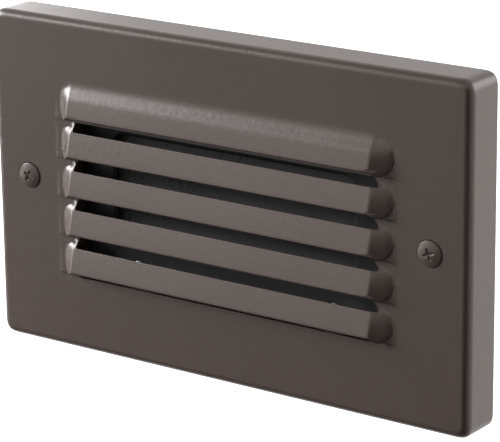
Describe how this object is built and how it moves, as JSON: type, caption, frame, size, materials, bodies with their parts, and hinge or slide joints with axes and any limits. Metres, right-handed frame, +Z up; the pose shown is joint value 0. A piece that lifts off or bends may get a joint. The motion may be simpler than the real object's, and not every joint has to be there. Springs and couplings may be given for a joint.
{
  "type": "step light",
  "caption": "Recessed louvred step light for a single-gang wall box: dark bronze faceplate over a sealed LED module with strap, lens, heat sink and driver.",
  "frame": {"origin": "midway between the two box screws, on the wall plane at the back of the strap and of the faceplate rim", "axes": "+X along the plate to the right seen from the front, +Y into the wall, +Z up; the louvred front faces -Y"},
  "size_m": [0.1142, 0.0507, 0.0698],
  "materials": {
    "bronze_coat": "dark bronze semi-gloss powder coat on a casting",
    "bronze_screw": "dark bronze coated screw",
    "foam_rubber": "closed-cell foam",
    "white_nylon": "natural nylon",
    "zinc_steel": "zinc-plated sheet steel",
    "zinc_steel_bright": "zinc-plated turned steel",
    "green_screw": "green passivated steel",
    "steel_screw": "zinc-plated screw",
    "smoked_lens": "smoked plastic with a faint frost",
    "silicone_seal": "grey silicone rubber",
    "black_plastic": "glass-filled black plastic",
    "cast_aluminium": "bare die-cast aluminium",
    "grey_pad": "filled silicone pad",
    "white_board": "white solder mask on a metal-cored board",
    "led_phosphor": "yellow phosphor in a white case",
    "white_reflector": "white moulded plastic",
    "tinned_pin": "tinned brass",
    "insulating_sheet": "fish paper",
    "green_board": "green solder mask on glass epoxy",
    "terminal_green": "green moulded plastic",
    "fuse_brown": "brown moulded plastic",
    "varistor_blue": "blue epoxy dip",
    "film_yellow": "yellow moulded case",
    "black_epoxy": "black epoxy",
    "copper_winding": "enamelled copper wire on a ferrite bobbin",
    "can_sleeve": "aluminium can in a dark sleeve",
    "ferrite": "sintered ferrite",
    "winding_tape": "yellow polyester tape over copper",
    "black_rubber": "moulded rubber"
  },
  "bodies": {
    "module": {"mounting_strap": "zinc_steel", "clinch_nuts": "zinc_steel_bright", "ground_screw": "green_screw", "lens": "smoked_lens", "lens_gasket": "silicone_seal", "lens_bezel": "black_plastic", "module_screws": "steel_screw", "housing": "cast_aluminium", "driver_case": "cast_aluminium", "case_gasket": "silicone_seal", "thermal_pad": "grey_pad", "led_board": "white_board", "led_chips": "led_phosphor", "led_board_screws": "steel_screw", "reflector": "white_reflector", "board_pins": "tinned_pin", "pin_bush": "black_plastic", "driver_insulator": "insulating_sheet", "driver_board": "green_board", "driver_screws": "steel_screw", "terminal_block": "terminal_green", "terminal_screws": "steel_screw", "fuse": "fuse_brown", "varistor": "varistor_blue", "film_capacitor": "film_yellow", "bridge_rectifier": "black_epoxy", "inductor": "copper_winding", "smoothing_capacitors": "can_sleeve", "controller_chip": "black_epoxy", "transformer_core": "ferrite", "transformer_winding": "winding_tape", "rear_cover_gasket": "silicone_seal", "rear_cover": "cast_aluminium", "rear_cover_screws": "steel_screw", "cable_grommet": "black_rubber"},
    "faceplate": {"faceplate": "bronze_coat", "wall_gasket": "foam_rubber"},
    "screw_left": {"faceplate_screw_left": "bronze_screw", "screw_retainer_left": "white_nylon"},
    "screw_right": {"faceplate_screw_right": "bronze_screw", "screw_retainer_right": "white_nylon"}
  },
  "joints": [
    {"name": "plate_release", "type": "slide", "parent": "module", "child": "faceplate", "axis": [0, -1, 0], "range_m": [0, 0.03]},
    {"name": "screw_left_turn", "type": "hinge", "parent": "faceplate", "child": "screw_left", "pos_m": [-0.04842, -0.0095, 0.00075], "axis": [0, -1, 0], "continuous": true},
    {"name": "screw_right_turn", "type": "hinge", "parent": "faceplate", "child": "screw_right", "pos_m": [0.04842, -0.0095, 0.00075], "axis": [0, -1, 0], "continuous": true}
  ]
}
